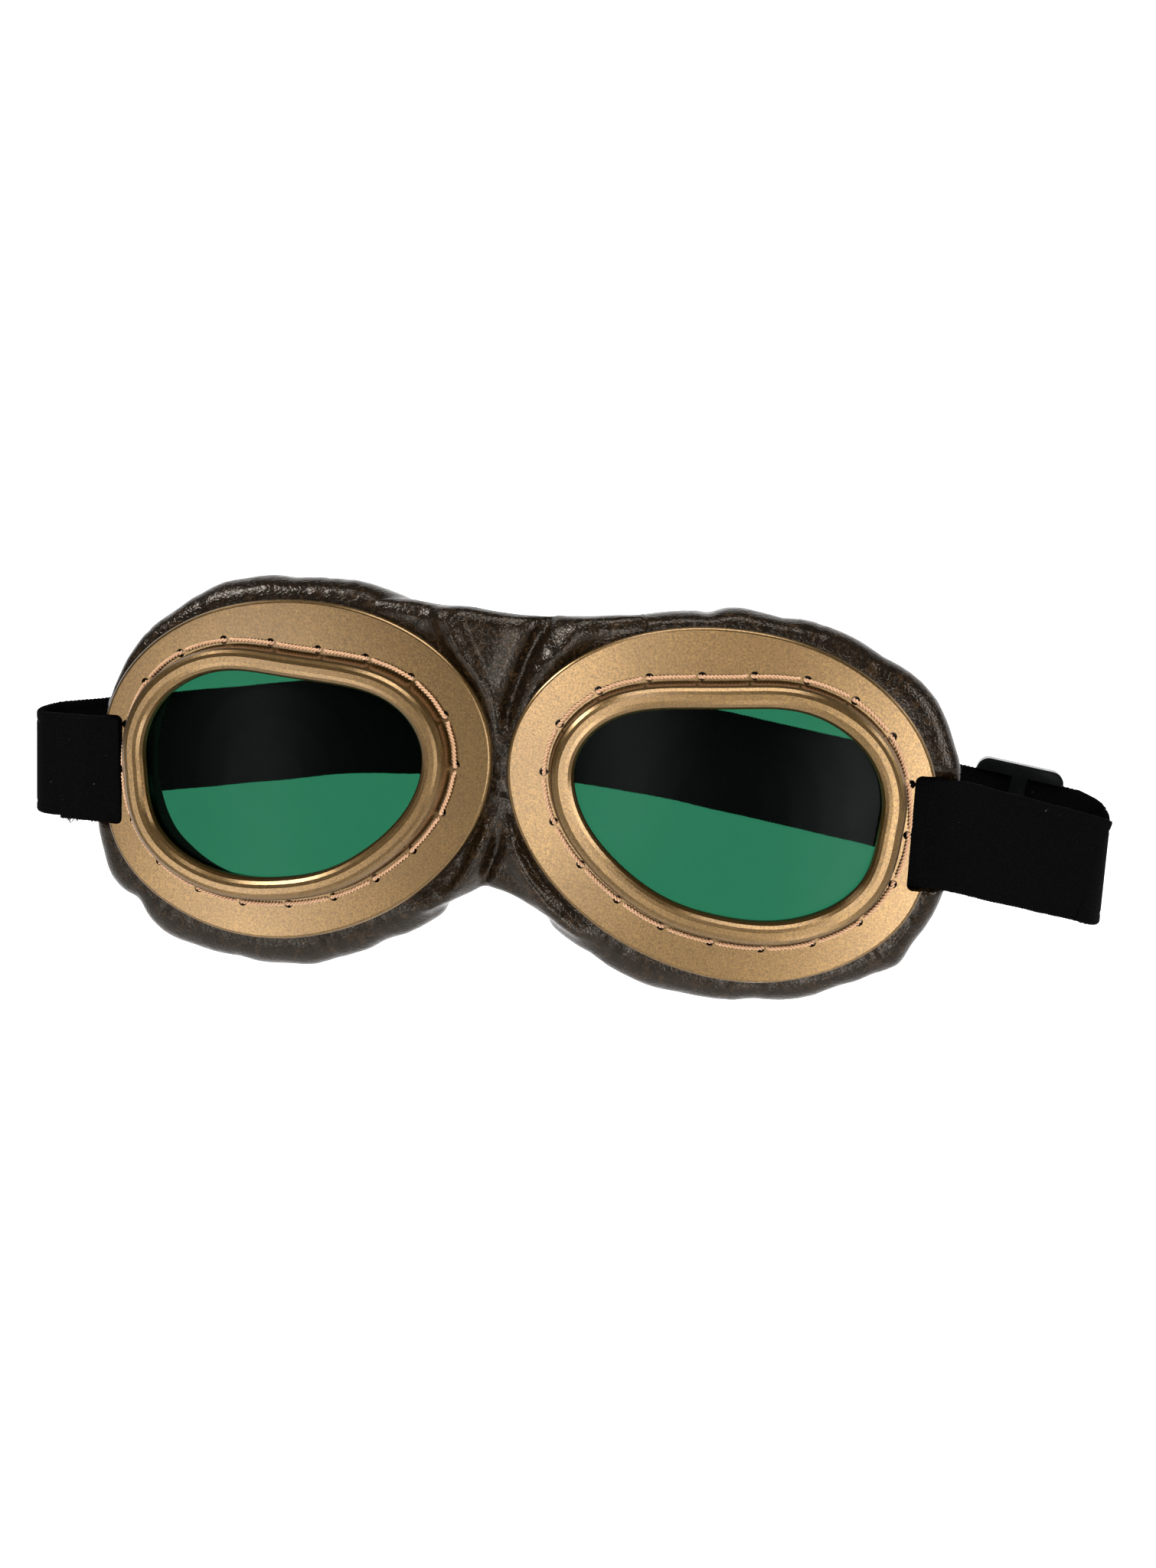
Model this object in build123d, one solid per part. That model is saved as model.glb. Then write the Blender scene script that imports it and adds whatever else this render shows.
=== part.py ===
from build123d import *
import math
import os

# Aviator flying goggles: two moulded eyepieces laced to padded leather cups, a soft nose bridge
# that lets the halves fold, and a black elastic strap with a sliding adjuster.
# Millimetres. +X is the viewer's right, the lenses look along -Y and +Z is up.
# The origin lies midway between the lenses, level with them, where the pads meet the face.

# Sewing thread, leather and webbing stock
leather_thickness = 1.2
lining_thickness = 1.0
web_thickness = 1.5
web_width = 25.0
cord_diameter = 0.9
soft_gap = 0.3
overrun = 20.0
wide_overrun = 160.0

# Stance of the two eyepieces
nose_gap = 4.7
wrap_angle = 5.7
front_to_face = 16.0

# Lens opening, measured from the lens centre: outboard and upward
opening_half_width = 34.5
opening_half_height = 24.0
opening_shares = [
    (0.948, 0.0),
    (0.780, 0.650),
    (0.377, 0.938),
    (0.0, 0.931),
    (-0.362, 0.900),
    (-0.855, 0.708),
    (-1.012, 0.388),
    (-0.997, 0.0),
    (-0.701, -0.583),
    (-0.359, -0.896),
    (0.0, -1.025),
    (0.409, -1.017),
    (0.823, -0.683),
]

# Flange that carries the stitching: how far it reaches past the opening
flange_side_margin = 13.5
flange_height_margin = 16.0
flange_half_width = opening_half_width + flange_side_margin
flange_half_height = opening_half_height + flange_height_margin
flange_thickness = 1.8
flange_edge_radius = 0.8
flange_shares = [
    (0.948, 0.0),
    (0.792, 0.550),
    (0.421, 0.875),
    (0.0, 0.990),
    (-0.453, 0.942),
    (-0.904, 0.626),
    (-1.0375, 0.334),
    (-1.044, 0.0),
    (-0.790, -0.5475),
    (-0.415, -0.8625),
    (0.0, -1.005),
    (0.453, -0.942),
    (0.850, -0.590),
]
flange_outboard_reach = flange_half_width * max(x for x, y in flange_shares)
flange_nose_reach = -flange_half_width * min(x for x, y in flange_shares)
outline_samples = 26

# Rolled rim round the lens opening
rim_height = 5.0
rim_foot_outset = 6.3
rim_top_outset = 5.5
rim_wall = 1.6
rim_outer_radius = 2.0
rim_inner_radius = 2.2
rim_crown_thickness = 1.5
lip_bottom_height = 2.2
round_steps = 4

# Stitch holes and the lacing cord along the foot of the rim
stitch_count = 20
stitch_hole_diameter = 2.0
stitch_line_outset = 7.0
stitch_phase_share = 0.035
stitch_channel_height = 1.6
small_round_sides = 12
cord_gap = 0.1
cord_outward_shift = 0.25

# Strap notch in the outboard edge of the flange
notch_width = 26.2
notch_depth = 5.4
notch_drop = 3.6
notch_corner_radius = 1.5

# Lens and the ring that holds it up against the lip
lens_thickness = 1.2
lens_overlap = 3.4
lens_dome_radius = 600.0
retainer_inner_outset = 0.9
retainer_outer_outset = 4.2
retainer_thickness = 1.4

# Padded cup: how far the leather stands past the flange at shares of its depth
pad_puff = 5.8
pad_bottom_extra = 1.6
pad_top_less = 1.3
nose_relief = 8.0
nose_fade_length = 14.0
cup_wall_outset = 5.0
seam_depth_share = 0.76
pad_profile_shares = [
    (0.0, -0.10),
    (0.10, 0.64),
    (0.30, 0.97),
    (0.56, 0.96),
    (0.82, 0.56),
    (1.0, -0.30),
]
pad_core_shares = [
    (0.0, -0.10),
    (0.30, 0.97),
    (0.82, 0.56),
    (1.0, -0.30),
]

# Nose bridge: the leather web between the cups
bridge_start_depth = 3.0
bridge_thickness = 5.5
bridge_half_width = 27.0
bridge_top_margin = 0.5
bridge_top_height = flange_half_height + bridge_top_margin
bridge_top_dip = 1.2
bridge_notch_drop = 21.5
bridge_lobe_half_width = 9.0
bridge_lobe_extra_drop = 4.0
bridge_lobe_drop = bridge_notch_drop + bridge_lobe_extra_drop
bridge_edge_radius = 1.8

# Strap ends held behind the flange, and the strap's way over the leather's edge
tab_length = 6.6
tab_gap = 0.15
strap_crossing = 5.0
strap_crossing_drop = 0.5
strap_room = 1.0
fold_sections = 9

# Strap on the left: a short run out, a tight fold and a straight run to the back
left_fold_beyond = 16.8
left_fold_radius = 7.0
left_fold_depth = 8.5
left_fold_drops = [5.0, 5.6, 5.2]
left_back_end = (50.0, 36.6, 3.6)

# Lap of webbing sewn over the left strap's front run, from the notch outward
lap_thickness = 1.1
lap_length = 17.8
lap_notch_gap = 0.8

# Strap on the right: a long run out, a round fold and a straight run with the slider
right_fold_beyond = 36.8
right_fold_radius = 9.0
right_fold_depth = 27.5
right_fold_drops = [14.0, 15.3, 10.3]
right_back_end = (50.0, 40.0, 1.3)

# Middle of the strap, behind the wearer's head
back_span_places = [(-20.0, 40.6, 5.8), (3.0, 41.6, 5.9), (27.0, 41.2, 4.2)]
span_sections = 9

# Sliding adjuster on the straight run
slider_length = 21.0
slider_bar_width = 3.8
slider_rail_height = 3.0
slider_thickness = 4.6
slider_from_start = 13.5
slider_clearance = 0.2
slider_corner_radius = 3.0
slider_edge_radius = 0.6


def unit(vector):
    return vector.normalized()


def spline_through(points):
    return Spline(*points, periodic=True)


def base_outline(shares, half_width, half_height):
    return spline_through([Vector(x * half_width, y * half_height) for x, y in shares])


def outset_outline(curve, outset_at):
    """The outline moved outward along its own normals, by an amount that may vary along it."""
    points = []
    for index in range(outline_samples):
        share = index / outline_samples
        place = curve @ share
        along = curve % share
        outward = Vector(along.Y, -along.X)
        if outward.dot(place) < 0:
            outward = -outward
        points.append(place + outward * outset_at(place))
    return spline_through(points)


opening_curve = base_outline(opening_shares, opening_half_width, opening_half_height)
flange_curve = base_outline(flange_shares, flange_half_width, flange_half_height)


def opening_face(outset, height=0.0):
    """Face of the lens opening, outset evenly, at a height in front of the flange's face."""
    curve = outset_outline(opening_curve, lambda place: outset)
    return Pos(0, 0, height) * make_face(curve)


def flange_face(outset, height):
    """Face of the flange's outline, outset evenly."""
    return Pos(0, 0, height) * make_face(outset_outline(flange_curve, lambda place: outset))


def prism(face, height):
    return extrude(face, amount=height, dir=(0, 0, 1))


def eye_frame():
    """Where the right eyepiece's own x (outboard), y (up) and z (forward) lie in the goggles."""
    wrap = math.radians(wrap_angle)
    outboard = Vector(math.cos(wrap), math.sin(wrap), 0)
    forward = Vector(math.sin(wrap), -math.cos(wrap), 0)
    from_middle = flange_nose_reach + nose_gap / 2 / math.cos(wrap)
    centre = Vector(0, -front_to_face, 0) + outboard * from_middle
    return Plane(origin=centre, x_dir=outboard, z_dir=forward)


eye_place = eye_frame()


def in_goggles(x, y, z):
    """A place given from the right lens centre, in the goggles' frame."""
    return eye_place.from_local_coords(Vector(x, y, z))


def both_sides(shape, name):
    right = eye_place.location * shape
    save(right, name + "_right")
    save(mirror(right, about=Plane.YZ), name + "_left")


def save(shape, name):
    export_step(shape, "parts/" + name + ".step")


def round_over(edge_outset, height, radius):
    """Outsets and heights down to up round an outer edge, from its wall to its flat top."""
    stations = []
    for step in range(round_steps + 1):
        turn = math.radians(90) * step / round_steps
        stations.append((edge_outset - radius * (1 - math.cos(turn)), height - radius * (1 - math.sin(turn))))
    return stations


def rim_hill():
    """Solid hill whose hollowing leaves the rolled rim."""
    stations = [(rim_foot_outset, -flange_thickness)] + round_over(rim_top_outset, rim_height, rim_outer_radius)
    return loft([opening_face(outset, height) for outset, height in stations], ruled=True)


def sight_hole():
    """The way through the rim to the lens, flared at its front."""
    flare = [(-outset, height) for outset, height in round_over(0, rim_height, rim_inner_radius)]
    stations = [(0, -overrun)] + flare + [(rim_inner_radius, overrun)]
    return loft([opening_face(outset, height) for outset, height in stations], ruled=True)


def rim_hollow():
    """Space under the rim: a channel behind the crown and a pocket for lens and retainer."""
    foot = opening_face(rim_foot_outset - rim_wall, -overrun)
    channel_top = rim_height - rim_crown_thickness
    foot_low = opening_face(rim_foot_outset - rim_wall, -flange_thickness)
    top = opening_face(rim_top_outset - rim_wall, channel_top)
    hollow = prism(foot, overrun - flange_thickness) + loft([foot_low, top])
    lip = prism(opening_face(rim_wall, lip_bottom_height), overrun)
    return hollow - lip


def notch_cutter():
    """Slot in from the outboard edge, with rounded inner corners."""
    inner_x = flange_outboard_reach - notch_depth
    slot = Pos(inner_x + overrun / 2, -notch_drop) * RectangleRounded(overrun, notch_width, notch_corner_radius)
    return prism(Pos(0, 0, -overrun) * slot, 2 * overrun)


def stitch_places():
    """Hole centres and outward directions, evenly spaced along the foot of the rim."""
    line = outset_outline(opening_curve, lambda place: stitch_line_outset)
    places = []
    for index in range(stitch_count):
        share = (index / stitch_count + stitch_phase_share) % 1.0
        places.append(line @ share)
    return places


def eyepiece_frame():
    stations = [(0, -flange_thickness)] + round_over(0, 0, flange_edge_radius)
    plate = loft([flange_face(outset, height) for outset, height in stations], ruled=True)
    plate -= notch_cutter()
    frame = plate + rim_hill() - sight_hole() - rim_hollow()
    hole = RegularPolygon(stitch_hole_diameter / 2, small_round_sides)
    hole = prism(hole, flange_thickness + stitch_channel_height)
    for place in stitch_places():
        frame -= Pos(place.X, place.Y, -flange_thickness) * hole
    return frame


def dome_drop(reach):
    """How far the domed lens falls away at a distance from its centre."""
    return reach ** 2 / (2 * lens_dome_radius)


def lens_front():
    """Height of the lens's front at its centre, where its short sides just clear the lip."""
    short_reach = min(math.hypot(x * opening_half_width, y * opening_half_height) for x, y in opening_shares)
    return lip_bottom_height - soft_gap / 2 + dome_drop(short_reach)


def lens():
    """Green sheet lens with a shallow dome, its edge up against the lip."""
    blank = prism(opening_face(lens_overlap, -overrun), 2 * overrun)
    centre = lens_front() - lens_dome_radius
    outer = Pos(0, 0, centre) * Sphere(lens_dome_radius)
    inner = Pos(0, 0, centre) * Sphere(lens_dome_radius - lens_thickness)
    return blank & (outer - inner)


def lens_retainer():
    """Flat ring in the hollow of the rim, behind the lens."""
    long_reach = opening_half_width + lens_overlap
    top = lens_front() - lens_thickness - dome_drop(long_reach) - soft_gap
    ring = prism(opening_face(retainer_outer_outset, top - retainer_thickness), retainer_thickness)
    return ring - prism(opening_face(retainer_inner_outset, -overrun), 2 * overrun)


def lacing_cord():
    """Cord pulled straight from hole to hole along the foot of the rim."""
    height = Vector(0, 0, cord_diameter / 2 + cord_gap)
    points = [place + unit(place) * cord_outward_shift + height for place in stitch_places()]
    start = (points[0] + points[-1]) / 2
    path = Polyline(start, *points, start)
    section = Plane(origin=start, z_dir=points[0] - start) * RegularPolygon(cord_diameter / 2, small_round_sides)
    return sweep(section, path=path, transition=Transition.RIGHT)


def pad_fade(place):
    """From 0 at the nose side to 1 where the pad stands fully proud."""
    share = (place.X + flange_half_width) / nose_fade_length
    return min(max(share, 0.0), 1.0)


def pad_section(depth_share, puff_share, shrink):
    depth = front_to_face - flange_thickness - 2 * shrink
    height = -flange_thickness - shrink - depth * depth_share

    def outset_at(place):
        fade = pad_fade(place)
        lower = max(0.0, -place.Y / flange_half_height)
        upper = max(0.0, place.Y / flange_half_height)
        proud = (pad_puff + pad_bottom_extra * lower - pad_top_less * upper) * puff_share * fade
        return proud - nose_relief * depth_share * (1 - fade) - shrink

    return Pos(0, 0, height) * make_face(outset_outline(flange_curve, outset_at))


def pad_envelope(shares, shrink):
    return loft([pad_section(depth, puff, shrink) for depth, puff in shares], ruled=True)


def half_space_behind(depth_share):
    """Everything on the face side of a share of the pad's depth."""
    height = -flange_thickness - (front_to_face - flange_thickness) * depth_share
    block = Box(wide_overrun, wide_overrun, overrun, align=(Align.CENTER, Align.CENTER, Align.MAX))
    return Pos(0, 0, height) * block


def tab_pocket():
    """Room for the strap's sewn end and where it crosses the leather's edge."""
    inner_x = flange_outboard_reach - notch_depth - tab_length - tab_gap
    depth = web_thickness + 2 * tab_gap + strap_room / 2
    height = web_width + 2 * (strap_room + strap_crossing_drop)
    block = Box(2 * overrun, height, 2 * depth, align=(Align.MIN, Align.CENTER, Align.CENTER))
    return Pos(inner_x, -notch_drop, -flange_thickness) * block


def build_cup():
    """Leather cover, foam and face lining of the right cup, nested in one another."""
    outer = pad_envelope(pad_profile_shares, 0)
    core = pad_envelope(pad_core_shares, leather_thickness)
    wall = prism(opening_face(cup_wall_outset, -overrun), 2 * overrun)
    wall_outer = prism(opening_face(cup_wall_outset + lining_thickness, -overrun), 2 * overrun)
    behind = half_space_behind(seam_depth_share)
    skin = outer - core
    pocket = tab_pocket()
    cover = skin - behind - wall_outer - pocket
    foam = core - wall_outer - pocket
    tube = (wall_outer - wall) & outer
    lining = ((skin & behind) - wall_outer) + tube - pocket
    return cover, foam, lining


def nose_bridge():
    """Web of leather that fills the space between the cups and bends when they fold."""
    outline = Polyline(
        (bridge_half_width, bridge_top_height),
        (bridge_half_width, -bridge_lobe_drop),
        (bridge_lobe_half_width, -bridge_lobe_drop),
        (0, -bridge_notch_drop),
        (-bridge_lobe_half_width, -bridge_lobe_drop),
        (-bridge_half_width, -bridge_lobe_drop),
        (-bridge_half_width, bridge_top_height),
    )
    dip = ThreePointArc(
        (-bridge_half_width, bridge_top_height),
        (0, bridge_top_height - bridge_top_dip),
        (bridge_half_width, bridge_top_height),
    )
    front = -front_to_face + bridge_start_depth
    plane = Plane(origin=(0, front, 0), x_dir=(1, 0, 0), z_dir=(0, -1, 0))
    web = extrude(plane * make_face(outline + dip), amount=-bridge_thickness)
    top_edges = [edge for edge in web.edges() if edge.geom_type == GeomType.CIRCLE]
    web = fillet(top_edges, bridge_edge_radius)
    eyepiece_room = Box(wide_overrun, wide_overrun, overrun, align=(Align.CENTER, Align.CENTER, Align.MIN))
    cup = pad_envelope(pad_profile_shares, -soft_gap)
    cup += Pos(0, 0, -flange_thickness - soft_gap) * eyepiece_room
    cup = eye_place.location * cup
    web -= cup
    web -= mirror(cup, about=Plane.YZ)
    return max(web.solids(), key=lambda solid: solid.volume)


def upright_across(along):
    """The direction nearest to straight up across a strap that runs along a direction."""
    return unit(Vector(0, 0, 1) - along * along.Z)


def backward_across(along):
    """The direction out of a strap's flat side, toward the back."""
    sideways = upright_across(along).cross(along)
    return sideways if sideways.Y > 0 else sideways * -1


def web_section(place, along, thickness=web_thickness):
    """Upright cross-section of the webbing at a place on its route."""
    return Plane(origin=place, x_dir=upright_across(along), z_dir=along) * Rectangle(web_width, thickness)


def web_through(places, end_direction):
    """Webbing run through places, flat between them, its last section square to a direction."""
    faces = []
    for index, place in enumerate(places[:-1]):
        before = places[max(index - 1, 0)]
        along = unit(place - before) if index else unit(places[1] - place)
        along = unit(along + unit(places[index + 1] - place))
        if index == len(places) - 2:
            along = end_direction
        faces.append(web_section(place, along))
    faces.append(web_section(places[-1], end_direction))
    return loft(faces, ruled=True)


def strap_end():
    """Inner end behind the flange, and the bend past the leather's edge."""
    height = -flange_thickness - tab_gap - web_thickness / 2
    inner = in_goggles(flange_outboard_reach - notch_depth - tab_length, -notch_drop, height)
    bend = in_goggles(flange_outboard_reach + strap_crossing, -notch_drop - strap_crossing_drop, height)
    return inner, bend


def fold_places(bend, back_end, beyond, radius, depth, drops):
    """Places round the fold between the straight front run and the straight run to the back."""
    centre = Vector(bend.X + beyond - radius, depth)
    to_bend = centre - Vector(bend.X, bend.Y)
    to_back = centre - Vector(back_end.X, back_end.Y)
    first = math.atan2(to_bend.Y, to_bend.X) - math.asin(radius / to_bend.length) - math.pi / 2
    last = math.atan2(to_back.Y, to_back.X) + math.asin(radius / to_back.length) + math.pi / 2
    fall = Spline(*[(index, -drop) for index, drop in enumerate(drops)])
    places = []
    for index in range(fold_sections):
        share = index / (fold_sections - 1)
        turn = first + (last - first) * share
        height = (fall @ share).Y
        places.append(Vector(centre.X + radius * math.cos(turn), centre.Y + radius * math.sin(turn), height))
    return places


def left_run():
    inner, bend = strap_end()
    back_end = Vector(*left_back_end)
    fold = fold_places(bend, back_end, left_fold_beyond, left_fold_radius, left_fold_depth, left_fold_drops)
    return [inner, bend] + fold + [back_end]


def right_run():
    inner, bend = strap_end()
    back_end = Vector(*right_back_end)
    fold = fold_places(bend, back_end, right_fold_beyond, right_fold_radius, right_fold_depth, right_fold_drops)
    return [inner, bend] + fold + [back_end]


def run_direction(places):
    return unit(places[-1] - places[-2])


def strap_left():
    places = left_run()
    return mirror(web_through(places, run_direction(places)), about=Plane.YZ)


def strap_lap():
    """Sewn lap on the front of the left strap, laid flat on its run past the bend."""
    start, bend, fold_start = left_run()[:3]
    inward_run = unit(bend - start)
    outward_run = unit(fold_start - bend)
    lap_start = start + inward_run * (tab_length + lap_notch_gap)
    lap_end = bend + outward_run * (lap_length - (bend - lap_start).length)
    lift = (web_thickness + lap_thickness) / 2 + tab_gap
    faces = []
    for place, along in ((lap_start, inward_run), (bend, unit(inward_run + outward_run)), (lap_end, outward_run)):
        faces.append(web_section(place - backward_across(along) * lift, along, lap_thickness))
    return mirror(loft(faces, ruled=True), about=Plane.YZ)


def strap_right():
    places = right_run()
    return web_through(places, run_direction(places))


def strap_back_span():
    """Bowed middle of the strap, from one straight run to the other."""
    left_way = run_direction(left_run())
    start_way = Vector(-left_way.X, left_way.Y, left_way.Z)
    end_way = run_direction(right_run()) * -1
    start = Vector(-left_back_end[0], left_back_end[1], left_back_end[2]) + start_way * soft_gap
    end = Vector(*right_back_end) - end_way * soft_gap
    middle = [Vector(*place) for place in back_span_places]
    route = Spline(start, *middle, end, tangents=[start_way, end_way])
    shares = [index / (span_sections - 1) for index in range(span_sections)]
    return loft([web_section(route @ share, unit(route % share)) for share in shares])


def slider():
    """Three-bar slide: end bars on the outside of the strap, the middle bar on the inside."""
    height = web_width + 2 * slider_clearance + 2 * slider_rail_height
    tunnel = web_thickness + 2 * slider_clearance
    blank = extrude(RectangleRounded(slider_length, height, slider_corner_radius), slider_thickness / 2, both=True)
    across = blank.faces().sort_by(Axis.Z)
    blank = chamfer(across[0].edges() + across[-1].edges(), slider_edge_radius)
    inside = web_width + 2 * slider_clearance
    body = blank - Box(2 * slider_length, inside, tunnel)
    window = slider_length - 2 * slider_bar_width
    body -= Box(window, inside, slider_thickness, align=(Align.CENTER, Align.CENTER, Align.MIN))
    side = (slider_length - slider_bar_width) / 2
    for direction in (-1, 1):
        place = direction * (slider_bar_width / 2 + side)
        body -= Pos(place, 0) * Box(2 * side, inside, slider_thickness, align=(Align.CENTER, Align.CENTER, Align.MAX))
    places = right_run()
    way = run_direction(places)
    backward = backward_across(way)
    centre = places[-2] + way * slider_from_start
    return Plane(origin=centre, x_dir=upright_across(way).cross(backward), z_dir=backward).location * body


def main():
    os.makedirs("parts", exist_ok=True)
    both_sides(eyepiece_frame(), "eyepiece_frame")
    both_sides(lens(), "lens")
    both_sides(lens_retainer(), "lens_retainer")
    both_sides(lacing_cord(), "lacing_cord")
    cover, foam, lining = build_cup()
    both_sides(cover, "leather_cover")
    both_sides(foam, "foam_pad")
    both_sides(lining, "face_lining")
    save(nose_bridge(), "nose_bridge")
    save(strap_left(), "strap_left")
    save(strap_lap(), "strap_lap_left")
    save(strap_right(), "strap_right")
    save(strap_back_span(), "strap_back_span")
    save(slider(), "strap_slider")


main()
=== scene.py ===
import math

import bmesh
import bpy
import numpy as np
from mathutils import Matrix, Vector, noise


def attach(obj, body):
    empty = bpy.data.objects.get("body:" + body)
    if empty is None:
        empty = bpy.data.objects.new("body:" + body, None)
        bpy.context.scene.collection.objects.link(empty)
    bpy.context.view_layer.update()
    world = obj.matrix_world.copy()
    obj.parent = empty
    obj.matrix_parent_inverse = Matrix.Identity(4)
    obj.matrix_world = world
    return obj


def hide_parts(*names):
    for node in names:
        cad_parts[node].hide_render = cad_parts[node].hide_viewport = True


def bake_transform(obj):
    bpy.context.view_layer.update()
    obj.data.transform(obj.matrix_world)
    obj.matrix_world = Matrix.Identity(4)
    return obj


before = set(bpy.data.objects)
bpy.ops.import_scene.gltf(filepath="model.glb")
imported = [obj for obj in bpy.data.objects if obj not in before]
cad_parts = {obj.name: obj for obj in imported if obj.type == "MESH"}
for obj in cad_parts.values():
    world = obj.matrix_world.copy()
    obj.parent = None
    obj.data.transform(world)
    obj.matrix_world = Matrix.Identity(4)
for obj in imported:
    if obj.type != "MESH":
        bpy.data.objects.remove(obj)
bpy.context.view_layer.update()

# The goggles' own sizes, as the solids have them: millimetres, which MM turns into metres
MM = 0.001
WRAP = math.radians(5.7)
FRONT_TO_FACE = 16.0
EYE_CENTRE = 52.474
OPENING = [
    (32.71, 0.0), (26.91, 15.60), (13.01, 22.51), (0.0, 22.34), (-12.49, 21.60), (-29.50, 16.99), (-34.91, 9.31),
    (-34.40, 0.0), (-24.18, -13.99), (-12.39, -21.50), (0.0, -24.60), (14.11, -24.41), (28.39, -16.39),
]
FLANGE = [
    (45.50, 0.0), (38.02, 22.0), (20.21, 35.0), (0.0, 39.6), (-21.74, 37.68), (-43.39, 25.04), (-49.80, 13.36),
    (-50.11, 0.0), (-37.92, -21.90), (-19.92, -34.50), (0.0, -40.2), (21.74, -37.68), (40.80, -23.60),
]
FLANGE_THICKNESS = 1.8
PAD_DEPTH = FRONT_TO_FACE - FLANGE_THICKNESS
FLANGE_ROUND = 270.0
STITCH_COUNT = 20
STITCH_PHASE = 0.035
STITCH_OUTSET = 7.0
WEB_WIDTH = 25.0
WEB_THICKNESS = 1.5
WEB_DROP = 3.6
LAP_START = 7.4
LAP_LENGTH = 17.8
LAP_THICKNESS = 1.1

# The twisted cord: how far inside the holes' line it lies, its two strands and its twist
CORD_SHIFT = -0.12
STRAND_OFFSET = 0.24
STRAND_RADIUS = 0.28
TWIST_PITCH = 1.7
# Its way from one hole to the next: share of the way, height over the flange
CORD_DIPS = [
    (0.0, -1.7), (0.03, -1.0), (0.055, -0.2), (0.09, 0.36), (0.16, 0.54), (0.5, 0.58),
    (0.84, 0.54), (0.91, 0.36), (0.945, -0.2), (0.97, -1.0),
]
# The webbing's weave, the lap's place on the strap and its frayed threads
RIB_PITCH = 0.95
YARN_PITCH = 0.62
PICK_PITCH = 0.9
LAP_LIFT = 1.45
LAP_DROP = 0.35
FRAY_COUNT = 26
FRAY_STEPS = 7
FRAY_RADIUS = 0.085
# The leather: the bridge's half width and depth, the eye's way through it, and its pleats, lumps and creases
BRIDGE_REACH = 30.0
BRIDGE_DEPTH = 6.2
EYE_HOLE_OUTSET = 6.3
PLEAT_REACH = 4.5
PLEAT_HEIGHT = 0.24
LUMP_HEIGHT = 0.20
CREASE_HEIGHT = 0.12
# The pads' soft unevenness
RIPPLE_HEIGHT = 0.25

# How finely things are worked out: places round a loop, along a stitch and on the bridge, and spacings
AROUND = 300
STITCH_STEPS = 200
BRIDGE_STEPS = 181
BRIDGE_ROWS = 90
CORD_SPACING = 0.14
WEB_SPACING = 0.32
BLOCK = 20000
VOXEL = 0.0007
EASE_ROUNDS = 40

# How far the leather stands past the flange, by the angle round each lens: outboard is 0, up is 90
PROUD_RIGHT = {
    0: 5.6, 15: 6.8, 30: 7.6, 45: 5.6, 60: 5.1, 75: 4.2, 90: 3.4, 105: 3.0, 120: 3.6, 150: 4.0, 180: 4.0,
    210: 8.8, 225: 8.0, 240: 8.0, 255: 7.1, 270: 6.3, 285: 5.8, 300: 6.4, 315: 6.4, 330: 6.0, 345: 5.6,
}
PROUD_LEFT = {
    0: 3.2, 15: 3.0, 30: 3.4, 45: 4.9, 60: 5.2, 75: 5.6, 90: 5.1, 105: 4.7, 120: 5.0, 150: 4.5, 180: 4.0,
    210: 8.0, 225: 7.1, 240: 7.0, 255: 7.1, 270: 7.7, 285: 7.8, 300: 8.4, 315: 8.8, 330: 7.1, 345: 5.0,
}
# Lumps and pinches of the gathered edge: angle, half width in degrees, height
LUMPS_RIGHT = [(101, 2.5, -0.7), (92, 6, 0.7), (78, 3, -0.4), (320, 4, 1.5), (304, 5, -0.6), (47, 5, -0.6),
               (250, 6, 0.5), (230, 4, -0.5), (281, 4, -0.5), (12, 5, 0.6)]
LUMPS_LEFT = [(318, 3, -1.6), (327, 5, 1.0), (307, 6, 0.9), (48, 6, -0.7), (66, 5, 0.5), (110, 6, 0.5),
              (285, 4, -0.6), (262, 5, 0.5), (236, 4, -0.6), (90, 5, -0.4)]


# Lines and loops

def smooth_loop(points, count):
    """Evenly spaced places on the smooth closed curve through some points."""
    points = np.array(points, float)
    size = len(points)
    ahead = np.roll(points, -1, 0)
    gaps = np.linalg.norm(ahead - points, axis=1)
    weights = np.zeros((size, size))
    pulls = np.zeros((size, 2))
    for i in range(size):
        before, after = gaps[i - 1], gaps[i]
        weights[i, i - 1] += before
        weights[i, i] += 2 * (before + after)
        weights[i, (i + 1) % size] += after
        pulls[i] = 6 * ((ahead[i] - points[i]) / after - (points[i] - points[i - 1]) / before)
    bends = np.linalg.solve(weights, pulls)
    fine = []
    for i in range(size):
        gap = gaps[i]
        t = np.linspace(0, gap, 120, endpoint=False)[:, None]
        after = (i + 1) % size
        fine.append(bends[i] * (gap - t) ** 3 / (6 * gap) + bends[after] * t ** 3 / (6 * gap)
                    + (points[i] / gap - bends[i] * gap / 6) * (gap - t)
                    + (points[after] / gap - bends[after] * gap / 6) * t)
    return evenly(np.concatenate(fine), count, True)


def lengths_along(line):
    """How far along a line each of its points lies."""
    return np.concatenate([[0], np.cumsum(np.linalg.norm(np.diff(line, axis=0), axis=1))])


def evenly(points, count, closed):
    """As many places as asked for, evenly spaced along a line of points."""
    line = np.concatenate([points, points[:1]]) if closed else points
    reach = lengths_along(line)
    shares = np.linspace(0, reach[-1], count, endpoint=not closed)
    return np.stack([np.interp(shares, reach, line[:, axis]) for axis in range(line.shape[1])], 1)


def unit(directions):
    """The same directions, each of length 1."""
    return directions / np.linalg.norm(directions, axis=1)[:, None]


def upright(along):
    """The upward direction that is square to a line at each of its places."""
    return np.array([0, 0, 1.0]) - along * along[:, 2:3]


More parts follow.
